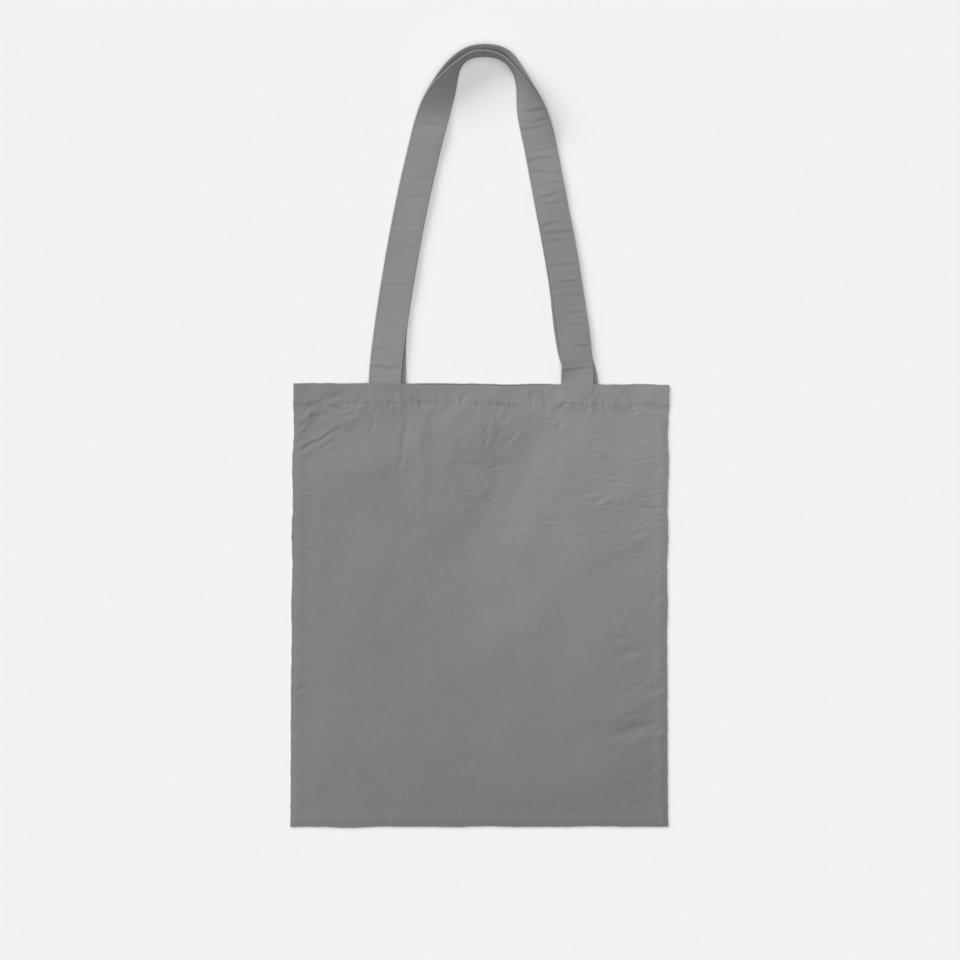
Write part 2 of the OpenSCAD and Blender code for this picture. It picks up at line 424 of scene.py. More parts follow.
def all_creases():
    """The creases listed one by one, and those scattered in the creased areas."""
    rng = np.random.default_rng(5)
    lines = list(CREASES)
    for cx, cy, reach_x, reach_y, degrees, count, length, width, depth in CREASED:
        for _ in range(count):
            size = rng.uniform(0.35, 1.0)
            x = np.clip(rng.normal(cx, reach_x), 8 - SIDE, SIDE - 8)
            y = np.clip(rng.normal(cy, reach_y), BOTTOM + 6, HEM_Y - 2)
            turn = degrees + rng.normal(0, 9)
            wide, deep = width * rng.uniform(0.7, 1.1), depth * rng.uniform(0.4, 1.0)
            lines.append((x, y, turn, length * size, wide, deep))
    return lines


def across_line(x, y, line):
    """Distances along and across a line through a place, in millimetres."""
    cx, cy, degrees = line
    c, s = math.cos(math.radians(degrees)), math.sin(math.radians(degrees))
    return (x - cx) * c + (y - cy) * s, (y - cy) * c - (x - cx) * s


def warped(x, y, size):
    """A place nearby, so that folds drawn as straight lines come out uneven."""
    return (
        x + size * (2.4 * ripples(x, y, 42, 11) + 0.8 * ripples(x, y, 13, 12)),
        y + size * (2.4 * ripples(x, y, 42, 13) + 0.8 * ripples(x, y, 13, 14)),
    )


def creases(x, y):
    """Sharp little creases: a valley with a raised shoulder beside it."""
    total = np.zeros_like(x)
    wx, wy = warped(x, y, 0.55)
    for cx, cy, degrees, length, width, depth in all_creases():
        along, across = across_line(wx, wy, (cx, cy, degrees))
        across = across + 0.005 * along**2 * math.sin(cx + cy) * 20 / (20 + length)
        fade = smooth((length / 2 - np.abs(along)) / (length * 0.42))
        total += depth * fade * (0.5 * bump(across + 1.7 * width, 1.5 * width) - bump(across, width))
    return total


def folds(x, y):
    """Broad soft hills and hollows."""
    total = np.zeros_like(x)
    wx, wy = warped(x, y, 1.6)
    for cx, cy, degrees, length, width, height in FOLDS:
        along, across = across_line(wx, wy, (cx, cy, degrees))
        total += height * bump(along, length / 2) * bump(across, width)
    return total


def edge_gap(u, v):
    """Distance in the cloth to the nearest sewn edge: side or bottom."""
    return np.minimum(SIDE - np.abs(u), v - BOTTOM)


def seam_puckers(u, v):
    """Short ripples that run in from the side and bottom seams."""
    side = SIDE - np.abs(u)
    low = v - BOTTOM
    strength = 0.6 + 0.6 * np.abs(ripples(u * 0.2, v, 60, 31, 8))
    from_side = ripples(side * 0.35 + np.sign(u) * 300, v, 11, 32, 12)
    from_side = from_side * np.exp(-side / 11) * smooth(side / 3)
    from_low = ripples(u, low * 0.35, 12, 33, 12) * np.exp(-low / 8) * smooth(low / 3)
    return strength * (0.30 * from_side + 0.18 * from_low)


def hem_line(u):
    """Where the hem's stitches run: a little lower on the right."""
    return HEM_STITCH - 0.8 * u / SIDE + 0.25 * ripples(u, 0 * u, 70, 43, 6)


def hem_puckers(u, v):
    """Short ripples across the hem, pinched at its stitches, and a small pit at each needle hole."""
    off = v - hem_line(u)
    near = bump(off, 4.0) + 0.5 * bump(off, 10)
    broad = 0.85 * ripples(u + 0.6 * off, v * 0.8, 30, 46, 12) * bump(off - 2, 15)
    tuck = 0.30 * ripples(u, v, 9, 47, 12) * bump(off - 4, 12)
    over_strap = smooth((STRAP_W / 2 + 3 - np.abs(np.abs(u) - HALF_SPAN)) / 6)
    waves = ripples(u + 0.35 * off, v * 0.32, 8.5, 41, 18)
    crest = 1 - np.minimum(np.abs(waves) * 1.3, 1)
    small = ripples(u - 0.2 * off, v * 0.5, 4.6, 45, 14)
    uneven = 0.25 + 0.75 * smooth(0.5 + 0.9 * ripples(u, 0 * u, 30, 44, 8))
    holes = 0.5 - 0.5 * np.cos(2 * math.pi * (u - STITCH_LENGTH / 2) / STITCH_PITCH)
    pits = (0.15 + 0.85 * holes) * bump(off, 1.0)
    ruffle = near * (0.85 * crest - 0.3 + 0.10 * small) * (0.3 + 0.7 * uneven) * 0.85
    return ruffle + broad + tuck - (0.05 + 0.10 * uneven + 0.24 * over_strap) * pits


def strap_bumps(u, v):
    """The strap's ends raise the hem over them."""
    total = np.zeros_like(u)
    for x in (-HALF_SPAN, HALF_SPAN):
        across = smooth((STRAP_W / 2 + 2.2 - np.abs(u - x)) / 3)
        total += across * smooth((v - HEM_Y + 8) / 18)
    return total


def outline(u, v, back=False):
    """Where a point of the flat cloth lies in x and y.

    The back panel's mouth edge sags a little between the straps.
    """
    up = (v - BOTTOM) / (MOUTH - BOTTOM)

    def edge(values):
        low, middle, high = values
        return low * (1 - up) * (1 - 2 * up) + 4 * middle * up * (1 - up) + high * up * (2 * up - 1)

    share = (u + SIDE) / (2 * SIDE)
    near_side = np.exp(-(SIDE - np.abs(u)) / 25)
    near_end = np.exp(-np.minimum(MOUTH - v, v - BOTTOM) / 25)
    x = u + edge(LEFT_EDGE) * (1 - share) + edge(RIGHT_EDGE) * share
    waver = 0.45 * ripples(0 * u, v, 46, 51, 8) + 0.22 * ripples(0 * u, v, 13, 52, 8)
    x = x + near_side * waver * np.sign(u)
    y = v - MOUTH_TILT * (u / SIDE) * up
    waver = 0.40 * ripples(u, 0 * v + np.sign(v) * 40, 60, 53, 8) + 0.15 * ripples(u, 0 * v, 14, 54, 8)
    y = y + near_end * waver
    if back:
        y = y - 1.25 * between_straps(u) * smooth((v - MOUTH + 30) / 30)
    return x, y


def between_straps(u):
    """1 between the two straps, falling to 0 at them."""
    return smooth((HALF_SPAN - STRAP_W / 2 - 4 - np.abs(u - 1)) / 14)


# Heights of the back panel's outer face: along its sewn edges, and where it is fullest
EDGE_Z, FULL_Z = 2.5, 7.2
# How far in from its sewn edges the panel rises to its full height
PANEL_SLOPE = 80


def back_face(u, v):
    """Height of the back panel's outer face."""
    side = smooth((SIDE - np.abs(u)) / PANEL_SLOPE) ** 0.75
    low = smooth((v - BOTTOM) / PANEL_SLOPE) ** 0.75
    hem = smooth((v - HEM_Y + 4) / 8)
    edge = EDGE_Z + 0.6 * hem
    flat = side * low
    gap = edge_gap(u, v)
    z = edge + (FULL_Z - edge) * flat
    z = z + 0.45 * smooth(gap / 3) * (1 - smooth((gap - SEAM_W + 2) / 5)) * (1 - hem)
    near_strap = bump(np.abs(u) - HALF_SPAN, 38)
    rise = smooth((v - MOUTH + 48) / 46)
    sag = smooth((v - MOUTH + 60) / 60)
    z = z + flat * (1.2 * near_strap * rise - 2.2 * (1 - near_strap) * sag)
    z = z + strap_bumps(u, v) * 0.55 * flat
    free = smooth(gap / 26)
    drift = 0.55 * ripples(u, v, 120, 61) + 0.24 * ripples(u, v * 0.8, 48, 62)
    drift = drift + 0.05 * ripples(u, v, 17, 63)
    z = z + free * drift
    z = z + folds(u, v) * (0.15 + 0.85 * free) * (1 - 0.35 * hem) + creases(u, v) * 1.25
    z = z + seam_puckers(u, v) + hem_puckers(u, v)
    z = np.maximum(z, 2.25 + 0.95 * hem)
    inner = smooth((gap - 0.8) / 5)
    return z * inner + (front_inner_face(u, v) + back_thickness(u, v) - 0.03) * (1 - inner)


def back_thickness(u, v):
    """Layers of cloth: three in the hem, two where the sewn-in edges are, one elsewhere."""
    gap = edge_gap(u, v)
    hem = smooth((v - HEM_Y + 1) / 1.5)
    edge = 1 - smooth((gap - SEAM_W + 0.5) / 1.5)
    return CLOTH_T * (1.0 + np.maximum(2 * hem, edge * 1.1))


def front_lift(u, v):
    """How far the front panel's mouth edge curls up off the table between the straps."""
    from_mouth = MOUTH - v
    return between_straps(u) * (0.5 * smooth((9 - from_mouth) / 9) + 1.3 * smooth((1.9 - from_mouth) / 1.3))


def front_inner_face(u, v):
    """Height of the front panel's inner face, over its outer face."""
    return back_thickness(u, v) * 0.98 + front_lift(u, v)


def front_outer_face(u, v):
    """Height of the front panel's outer face: nearly flat, with small hollows where the cloth is eased."""
    gap = edge_gap(u, v)
    hollow = 0.10 * (1 + np.clip(ripples(u, v, 34, 91), -1, 1)) * smooth(gap / 20)
    seam = 0.12 * (1 + np.clip(ripples(u, v, 9, 92), -1, 1)) * np.exp(-gap / 9)
    eased = 0.10 * (1 + np.clip(ripples(u, v * 0.3, 8, 93), -1, 1))
    hem = 0.30 * bump(v - HEM_STITCH, 1.1) + eased * bump(v - HEM_STITCH, 6)
    return front_lift(u, v) + hollow + seam + hem


# Distances of the close lines from an edge, and of the first even line
EDGE_LINES = np.array([0.0, 0.08, 0.25, 0.5, 0.9, 1.5, 2.4])
EDGE_BAND = 4


def grid_lines(low, high, step):
    """Lines from low to high, close together at both ends so that the edge can be round."""
    inner = np.linspace(low + EDGE_BAND, high - EDGE_BAND, int((high - low - 2 * EDGE_BAND) / step) + 1)
    return np.concatenate([low + EDGE_LINES, inner, high - EDGE_LINES[::-1]])


def rounded(gap, radius):
    """Share of the full thickness at this distance from the rounded edge."""
    c = np.clip(gap / radius, 0, 1)
    return np.sqrt(1 - (1 - c) ** 2)


def grid_quads(ids):
    """Four-sided faces between the points of a grid."""
    a = ids[:-1, :-1].ravel()
    b = ids[:-1, 1:].ravel()
    c = ids[1:, 1:].ravel()
    d = ids[1:, :-1].ravel()
    return np.stack([a, b, c, d], axis=1)


def panel(us, vs, top, under, back):
    """A grid's places on the flat cloth, and its upper and lower points, which meet at round edges."""
    u, v = np.meshgrid(us, vs)
    x, y = outline(u, v, back)
    high, low = top(u, v), under(u, v)
    edge = np.minimum(SIDE - np.abs(u), np.minimum(v - BOTTOM, MOUTH - v))
    middle, half = (high + low) / 2, (high - low) / 2
    half = half * rounded(edge, np.where(MOUTH - v < 3, np.maximum(half, 0.3), 1.5))
    upper = np.stack([x, y, middle + half], axis=-1)
    lower = np.stack([x, y, middle - half], axis=-1)
    return u, v, upper, lower


# How far the lower face's cloth pattern is moved from the upper face's, so that the two differ
LOWER_UV_APART = 600


def face_normals(points, flip):
    """Normal at each point of a grid of points."""
    across = np.gradient(points, axis=1)
    along = np.gradient(points, axis=0)
    n = unit(np.cross(across, along))
    return -n if flip else n


def sheet_piece(name, u, v, upper, lower, keep, join=None):
    """One closed piece of a panel, from the columns of its grid that keep names.

    join is the side where it meets the panel's other piece: both take the whole panel's normals there.
    """
    upper_n, lower_n = face_normals(upper, False), face_normals(lower, True)
    u, v, upper, lower = u[:, keep], v[:, keep], upper[:, keep], lower[:, keep]
    upper_n, lower_n = upper_n[:, keep], lower_n[:, keep]
    rows, columns = u.shape
    count = rows * columns
    top = np.arange(count).reshape(rows, columns)
    # The lower face shares the upper face's points along the outline
    rim = np.zeros((rows, columns), bool)
    rim[0], rim[-1] = True, True
    if join != "left":
        rim[:, 0] = True
    if join != "right":
        rim[:, -1] = True
    bottom = np.where(rim, top, 0)
    bottom[~rim] = count + np.arange((~rim).sum())
    points = np.concatenate([upper.reshape(-1, 3), lower[~rim]])
    places = np.stack([u, v], -1)
    flat = np.concatenate([places.reshape(-1, 2), places[~rim] + [0, LOWER_UV_APART]])
    quads = [grid_quads(top), grid_quads(bottom)[:, ::-1]]
    n_top = len(quads[0])
    if join:
        column = 0 if join == "left" else -1
        a, b = top[:, column], bottom[:, column]
        wall = np.stack([a[:-1], b[:-1], b[1:], a[1:]], axis=1)
        wall = wall[:, ::-1] if join == "left" else wall
        wall = np.array([q for q in wall.tolist() if len(set(q)) == 4])
        quads.append(wall)
    quads = np.concatenate(quads)
    normals = None
    if join:
        of_top = upper_n.reshape(-1, 3)
        of_bottom = np.zeros((len(points), 3))
        of_bottom[top[rim]] = unit(upper_n[rim] + lower_n[rim])
        of_bottom[bottom[~rim]] = lower_n[~rim]
        edge_points = np.zeros(len(points), bool)
        edge_points[:count] = rim.ravel()
        wall_way = (-1, 0, 0) if join == "left" else (1, 0, 0)
        normals = []
        for i, quad in enumerate(quads.tolist()):
            for p in quad:
                if i < n_top:
                    normals.append(of_bottom[p] if edge_points[p] else of_top[p])
                elif i < 2 * n_top:
                    normals.append(of_bottom[p])
                else:
                    normals.append(wall_way)
    return make_mesh(name, points, quads, flat, normals)


# Where the back panel's two halves meet
SPLIT = 0.0
# Above this place, the back panel's grid has twice as many rows
FINE_FROM = 30


def follow_back(piece):
    """One side of the back panel's cloth, with its place baked into its points."""
    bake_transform(piece)


def back_panel_rows():
    """Rows of the back panel's grid: fewer in its lower part, and more at the hem's stitches."""
    rows = grid_lines(BOTTOM, MOUTH, 1.0)
    low = rows[rows < FINE_FROM]
    every_other = low[(len(low) + 1) % 2::2]
    rows = np.unique(np.concatenate([rows[:len(EDGE_LINES) + 1], every_other, rows[rows >= FINE_FROM]]))
    at_stitches = HEM_STITCH + np.arange(-3, 3.1, 0.5)
    return np.sort(np.concatenate([rows[np.abs(rows - HEM_STITCH) > 3], at_stitches]))


def back_inner_face(u, v):
    """Height of the back panel's inner face."""
    return back_face(u, v) - back_thickness(u, v)


def build_back_panel():
    """The back panel's two halves, each with the side that it is on."""
    us = grid_lines(-SIDE, SIDE, 1.0)
    split = int(np.argmin(np.abs(us - SPLIT)))
    u, v, upper, lower = panel(us, back_panel_rows(), back_face, back_inner_face, True)
    pieces = []
    for side, name, keep, join in (
        (-1, "back_panel_left", slice(0, split + 1), "right"),
        (1, "back_panel_right", slice(split, None), "left"),
    ):
        piece = sheet_piece(name, u, v, upper, lower, keep, join)
        finish_piece(piece, PANEL_CLOTH, "panel_cloth", "back_panel")
        pieces.append((piece, side))
    return pieces


def build_front_panel():
    """The front panel, with more rows where its mouth edge curls."""
    us = grid_lines(-SIDE, SIDE, 3.0)
    vs = grid_lines(BOTTOM, MOUTH, 3.0)
    at_curl = MOUTH - np.arange(0.7, 3.2, 0.3)
    vs = np.sort(np.concatenate([vs[MOUTH - vs > 3.2], vs[MOUTH - vs < 0.6], at_curl]))
    u, v, upper, lower = panel(us, vs, front_inner_face, front_outer_face, False)
    piece = sheet_piece("front_panel_cloth", u, v, upper, lower, slice(None))
    return finish_piece(piece, PANEL_CLOTH, "panel_cloth", "front_panel")


# ---------- shape of the straps ----------


# Middle, width direction, normal, length and curl at each place along a strap
Frames = namedtuple("Frames", "middle wide normal length curl")


def bezier(p, t):
    t = t[:, None]
    return p[0] * (1 - t) ** 3 + p[1] * 3 * t * (1 - t) ** 2 + p[2] * 3 * t * t * (1 - t) + p[3] * t**3


def loop_plan():
    """The loop's middle line seen from above, from the left root over the top to the right root.

    Gives its places at even steps, the length up to each, and the length up to the middle of the twist.
    """
    top = LOOP_ROOT + STRAP_RISE
    root = np.array([-HALF_SPAN, LOOP_ROOT])
    lean = np.array([KNEE_LEAN, 1]) * STRAP_RISE
    knee = np.array([-HALF_SPAN * KNEE[0], LOOP_ROOT + STRAP_RISE * KNEE[1]])
    leg = [root, root + [0, STRAP_RISE * ROOT_HANDLE], knee - lean * KNEE_HANDLE, knee]
    apex = np.array([APEX_SHIFT, top])
    arch = [knee, knee + lean * ARCH_HANDLE, apex - [HALF_SPAN * APEX_HANDLE + APEX_SHIFT, 0], apex]
    left = np.concatenate([bezier(leg, np.linspace(0, 1, 200)), bezier(arch, np.linspace(0, 1, 300))[1:]])
    right = left[-2::-1].copy()
    up = (right[:, 1] - LOOP_ROOT) / STRAP_RISE
    right[:, 0] = -right[:, 0] + 2 * APEX_SHIFT * smooth((up - LEAN_FROM) / (1 - LEAN_FROM))
    line = np.concatenate([left, right])
    along = np.concatenate([[0], np.cumsum(np.linalg.norm(np.diff(line, axis=0), axis=1))])
    at = np.linspace(0, along[-1], int(along[-1] / LOOP_STEP) + 1)
    even = np.stack([np.interp(at, along, line[:, k]) for k in (0, 1)], axis=1)
    return even, at, along[len(left) - 1] + TWIST_OFFSET


def under_hem(root, steps):
    """The middle line of a strap's sewn-in end, straight down the hem's inner face from its root."""
    return np.stack([np.full_like(steps, root[0]), steps, np.full_like(steps, root[2])], axis=1)


def strap_frames(front):
    """The frames along the whole strap, sewn-in ends included."""
    plan, along, top_at = loop_plan()
    way = unit(np.gradient(plan, axis=0))
    out = np.stack([-way[:, 1], way[:, 0]], axis=1)
    from_top = np.abs(along - top_at)
    from_root = np.minimum(along, along[-1] - along)
    twist = smooth((TWIST_START - from_top) / (TWIST_START - TWIST_END))
    settle = smooth(from_root / SETTLE)
    root_z = FRONT_ROOT_Z if front else BACK_ROOT_Z
    lean = FRONT_LEAN * twist + (BACK_LEAN - FRONT_LEAN) * twist**2
    curl = np.zeros_like(twist)
    if front:
        lie = np.full_like(twist, STRAP_LIFT)
        right = along > top_at
        fade = np.where(right, smooth(from_root / 34), settle)
        veer = np.where(right, -1.8 * bump(from_root - 52, 30), 0)
        plan = plan + np.stack([STRAP_SHIFT * (1 - fade) + veer, np.zeros_like(settle)], axis=1)
        plan = plan - out * FRONT_NEST * twist[:, None]
        curl = math.radians(CURL) * smooth((CURL_START - from_top) / (CURL_START - CURL_END))
    else:
        lie = (STRAP_T + LEG_GAP) * (1 - twist) + STRAP_LIFT
        roll = smooth(from_root / ROLL_FROM) * smooth((ROLL_TO - from_root) / ROLL_FADE)
        roll = np.where(along > top_at, roll, 0)
        lean = lean - ROLL * roll
        plan = plan - out * NEST_GAP * twist[:, None] + out * ROLL_SHIFT * roll[:, None]
    lean = np.radians(lean)
    low = root_z + (lie - root_z) * settle
    z = low + STRAP_W / 2 * np.abs(np.sin(lean)) + STRAP_T / 2 * np.cos(lean)
    middle = np.concatenate([plan, z[:, None]], axis=1)
    wide = np.concatenate([out * np.cos(lean)[:, None], np.sin(lean)[:, None]], axis=1)
    normal = np.concatenate([-out * np.sin(lean)[:, None], np.cos(lean)[:, None]], axis=1)
    steps = np.arange(HEM_Y, LOOP_ROOT - 0.5, END_STEP)
    ones = np.ones((len(steps), 1))
    middle = np.concatenate([under_hem(middle[0], steps), middle, under_hem(middle[-1], steps)[::-1]])
    wide = np.concatenate([ones * wide[0], wide, ones * wide[-1]])
    normal = np.concatenate([ones * normal[0], normal, ones * normal[-1]])
    curl = np.concatenate([np.zeros_like(steps), curl, np.zeros_like(steps)])
    length = np.concatenate([[0], np.cumsum(np.linalg.norm(np.diff(middle, axis=0), axis=1))])
    return Frames(middle, wide, normal, length, curl)


def strap_lines():
    """Places across a strap: close together at its folded edges and at its stitches."""
    half = STRAP_W / 2
    at_stitches = [STRAP_STITCH + off for off in (-0.7, -0.35, 0, 0.35, 0.7)]
    side = [0, 4, 8, 10.5, *at_stitches, *(half - off for off in (1.3, 0.75, 0.35, 0.1, 0))]
    return np.array([-s for s in side[:0:-1]] + side)


# Places across a strap at which its bend is summed, and how far from its middle the bend starts
FINE_COUNT = 61
CURL_FLAT = 3


def curled(frames, index, a):
    """Place and normal at a across a strap, whose outer part bends outwards. Its thickness isn't in yet."""
    middle, wide, normal, length, curl = frames
    fine = np.linspace(-STRAP_W / 2, STRAP_W / 2, FINE_COUNT)
    bend = curl[:, None] * smooth((fine - CURL_FLAT) / (STRAP_W / 2 - CURL_FLAT))[None, :]
    step = fine[1] - fine[0]
    zero = FINE_COUNT // 2

    def summed(values):
        mid = (values[:, 1:] + values[:, :-1]) / 2 * step
        total = np.concatenate([np.zeros((len(values), 1)), np.cumsum(mid, axis=1)], axis=1)
        return total - total[:, zero:zero + 1]

    out_by, down_by = summed(np.cos(bend)), summed(-np.sin(bend))
    at = (np.asarray(a, float) + STRAP_W / 2) / step
    low = np.clip(at.astype(int), 0, FINE_COUNT - 2)
    share = at - low
    row = np.asarray(index, float)
    near = np.clip(row.astype(int), 0, len(length) - 2)
    part = row - near

    def pick(values):
        first = values[near, low] * (1 - share) + values[near, low + 1] * share
        second = values[near + 1, low] * (1 - share) + values[near + 1, low + 1] * share
        return first * (1 - part) + second * part

    def along(values):
        return values[near] * (1 - part)[..., None] + values[near + 1] * part[..., None]

    m, w, n = along(middle), unit(along(wide)), unit(along(normal))
    turn = pick(bend)
    place = m + w * pick(out_by)[..., None] + n * pick(down_by)[..., None]
    return place, n * np.cos(turn)[..., None] + w * np.sin(turn)[..., None]


def strap_creases(s, a, front, whole):
    """Short creases across a strap, more on its right leg, and a fold near the mouth on its left leg."""
    rng = np.random.default_rng(7 if front else 8)
    lines = [(34.0, 3.0, 18.0, 2.0, 0.02, 1.15, 1), (27.0, 0.0, 14.0, 0.9, -0.05, 0.45, 1)]
    at = 52.0
    while at < whole - 26:
        right = at > whole / 2
        depth = rng.uniform(0.40, 0.95) * (1.15 if right else 0.75)
        middle, reach = rng.uniform(-7, 7), rng.uniform(9, 19)
        width = rng.uniform(0.9, 1.6) * (1.0 if right else 1.4)
        skew = rng.uniform(-0.05, 0.18) * (1 if right else -1)
        lines.append((at, middle, reach, width, skew, depth, -1 if right else 1))
        at += rng.uniform(7, 30) * (0.8 if right else 1.2)
    total = np.zeros(np.broadcast(s, a).shape)
    inside = 0.3 + 0.7 * smooth((STRAP_W / 2 - np.abs(a)) / 3)
    waver = 0.9 * ripples(s, a, 15, 75 + front, 10)
    for at, middle, reach, width, skew, depth, upper in lines:
        across = s - at - skew * a + waver
        fade = smooth((reach - np.abs(a - middle)) / (reach * 0.5)) * inside
        shape = 0.5 * bump(across - upper * 1.8 * width, 1.5 * width) - bump(across, width)
        total += depth * fade * shape
    return total


def strap_face(s, a, front, whole):
    """Height of a strap's face over its middle plane, and how far the strap is moved along its normal."""
    half = STRAP_W / 2
    edge = half - np.abs(a)
    thick = STRAP_T / 2 * rounded(edge, STRAP_T / 2)
    dip = 0.75 + 0.25 * np.cos(2 * math.pi * s / STITCH_PITCH)
    stitch = 0.20 * bump(np.abs(a) - STRAP_STITCH, 0.55) * dip
    puff = 0.10 * smooth((edge - 4) / 6)
    wave = 0.55 * ripples(s, a * 1.2, 46, 71 + front) * smooth(s / SETTLE)
    wave = wave + 0.07 * ripples(s, a, 14, 73 + front)
    share = 0.55 if front else 1.0
    face = thick - stitch * smooth(edge / 1.2) + puff * 0.6
    return face, share * (strap_creases(s, a, front, whole) + wave)


def above_floor(points):
    """The same points, none of them lower than the underside of a strap that lies on the floor."""
    points[..., 2] = np.maximum(points[..., 2], STRAP_LIFT)
    return points


def strap_point(frames, index, a, front, side):
    """Points on a strap's upper (side 1) or lower (side -1) face, at places along it given by index."""
    face, shift = strap_face(frames.length[index], a, front, frames.length[-1])
    place, normal = curled(frames, index, a)
    return above_floor(place + normal * (shift + side * face)[..., None])


# How far the front strap's cloth pattern is moved from the back strap's, so that the two differ
FRONT_UV_APART = 80


def build_strap(front):
    """A strap as one closed piece, and its frames."""
    name = "front_strap" if front else "back_strap"
    frames = strap_frames(front)
    length = frames.length
    lines = strap_lines()
    n, m = len(length), len(lines)
    index, a = np.meshgrid(np.arange(n), lines, indexing="ij")
    upper = strap_point(frames, index, a, front, 1)
    lower = strap_point(frames, index[:, 1:-1], a[:, 1:-1], front, -1)[:, ::-1]
    ring = np.concatenate([upper, lower], axis=1)
    count = ring.shape[1]
    ids = np.arange(n * count).reshape(n, count)
    around = np.concatenate([ids, ids[:, :1]], axis=1)
    quads = [grid_quads(around)[:, ::-1]]
    # Flat ends, as strips between the upper and lower rows
    for row, flip in ((0, False), (n - 1, True)):
        for k in range(m - 1):
            up0, up1 = ids[row, k], ids[row, k + 1]
            low1 = up1 if k + 1 == m - 1 else ids[row, count - 1 - k]
            low0 = up0 if k == 0 else ids[row, count - k]
            face = [up0, up1, low1, low0]
            if len(set(face)) < 4:
                continue
            quads.append(np.array([face if flip else face[::-1]]))
    uv_ring = np.concatenate([lines, STRAP_W + 1 + lines[1:-1]])
    uv_ring = uv_ring + (FRONT_UV_APART if front else 0)
    uv = np.stack(np.broadcast_arrays(uv_ring[None, :], length[:, None]), axis=-1)
    points = ring.reshape(-1, 3)
    quads = np.concatenate(quads)
    piece = make_mesh(f"{name}_cloth", points, quads, uv.reshape(-1, 2))
    close_triangles(piece)
    finish_piece(piece, STRAP_CLOTH, "strap_cloth", name, f"{name}_left_end", f"{name}_right_end")
    return piece, frames


def close_triangles(piece):
    """Fills the small three-sided gaps at the corners of a strap's ends."""
    bm = bmesh.new()
    bm.from_mesh(piece.data)
    edges = [e for e in bm.edges if e.is_boundary]
    bmesh.ops.holes_fill(bm, edges=edges, sides=4)
    bmesh.ops.recalc_face_normals(bm, faces=bm.faces)
    bm.to_mesh(piece.data)
    bm.free()


# ---------- stitches ----------

STITCH_SIDES = 6
STITCH_RINGS = 5
STITCH_SINK = 0.16


def stitches(name, starts, ends, normals, width=STITCH_W, rise=0.30):
    """A row of stitches, each a short arched thread that is sunk into the cloth at its start and end."""
    points, quads = [], []
    for p, q, up in zip(starts, ends, normals):
        way = unit(q - p)
        side = np.cross(way, up)
        base = len(points)
        for i in range(STITCH_RINGS):
            t = i / (STITCH_RINGS - 1)
            arch = math.sin(math.pi * t)
            middle = p + (q - p) * t + up * (rise * arch - STITCH_SINK)
            radius = width / 2 * (0.45 + 0.55 * arch**0.6)
            for k in range(STITCH_SIDES):
                turn = 2 * math.pi * k / STITCH_SIDES
                points.append(middle + radius * (side * math.cos(turn) + up * 0.8 * math.sin(turn)))
        for i in range(STITCH_RINGS - 1):
            ring = base + i * STITCH_SIDES
            for k in range(STITCH_SIDES):
                a, b = ring + k, ring + (k + 1) % STITCH_SIDES
                quads.append([a, b, b + STITCH_SIDES, a + STITCH_SIDES])
        for row, order in ((0, (0, 3, 2, 1, 0, 5, 4, 3)), (STITCH_RINGS - 1, (0, 1, 2, 3, 0, 3, 4, 5))):
            at = base + row * STITCH_SIDES
            quads.append([at + k for k in order[:4]])
            quads.append([at + k for k in order[4:]])
    return make_mesh(name, points, quads)


def back_surface(u, v):
    """Points on the back panel's outer face, and their normals."""
    e = 0.5

    def at(a, b):
        x, y = outline(a, b, True)
        return np.stack([x, y, back_face(a, b)], axis=-1)

    n = unit(np.cross(at(u + e, v) - at(u - e, v), at(u, v + e) - at(u, v - e)))
    return at(u, v), n


def panel_row(name, low, high, v, wobble_seed, pitch=STITCH_PITCH):
    """Stitches along the back panel's outer face at height v."""
    starts = np.arange(low, high - STITCH_LENGTH, pitch)
    rng = np.random.default_rng(wobble_seed)
    line = hem_line(starts) + v - HEM_STITCH + rng.uniform(-0.08, 0.08, len(starts))
    length = STITCH_LENGTH * min(1.0, pitch / STITCH_PITCH)
    p, n1 = back_surface(starts, line)
    q, n2 = back_surface(starts + length, line)
    return stitches(name, p, q, unit(n1 + n2))


def flat_row(name, starts, ends, z, width=STITCH_W):
    """Stitches on a flat face at height z, from lists of x and y."""
    p = np.array([[*outline(np.array(x), np.array(y)), z] for x, y in starts], float)
    q = np.array([[*outline(np.array(x), np.array(y)), z] for x, y in ends], float)
    return stitches(name, p, q, np.tile([0.0, 0.0, 1.0], (len(p), 1)), width)


def strap_row(name, frames, a, front):
    """Stitches along both faces of a strap, at the place a across it."""
    length = frames.length
    starts = np.arange(4.0, length[-1] - 4 - STITCH_LENGTH, STITCH_PITCH)
    rows = []
    for side in (1, -1):
        ends = []
        for s in (starts, starts + STITCH_LENGTH):
            face, shift = strap_face(s, a + 0 * s, front, length[-1])
            place, n = curled(frames, np.interp(s, length, np.arange(len(length))), a + 0 * s)
            ends.append((above_floor(place + n * (shift + side * face)[:, None]), n * side))
        rows.append((ends[0][0], ends[1][0], unit(ends[0][1] + ends[1][1])))
    p, q, n = (np.concatenate([r[k] for r in rows]) for k in range(3))
    return stitches(name, p, q, n, 0.5, 0.26)


def line_stitches(x0, y0, x1, y1, pitch=STITCH_PITCH):
    """Starts and ends of stitches along a straight line of the flat cloth."""
    length = math.hypot(x1 - x0, y1 - y0)
    way = np.array([(x1 - x0) / length, (y1 - y0) / length])
    at = np.arange(0, length - STITCH_LENGTH, pitch)
    starts = np.array([x0, y0]) + at[:, None] * way
    return starts.tolist(), (starts + STITCH_LENGTH * way).tolist()


OVERLOCK_W = 3.0


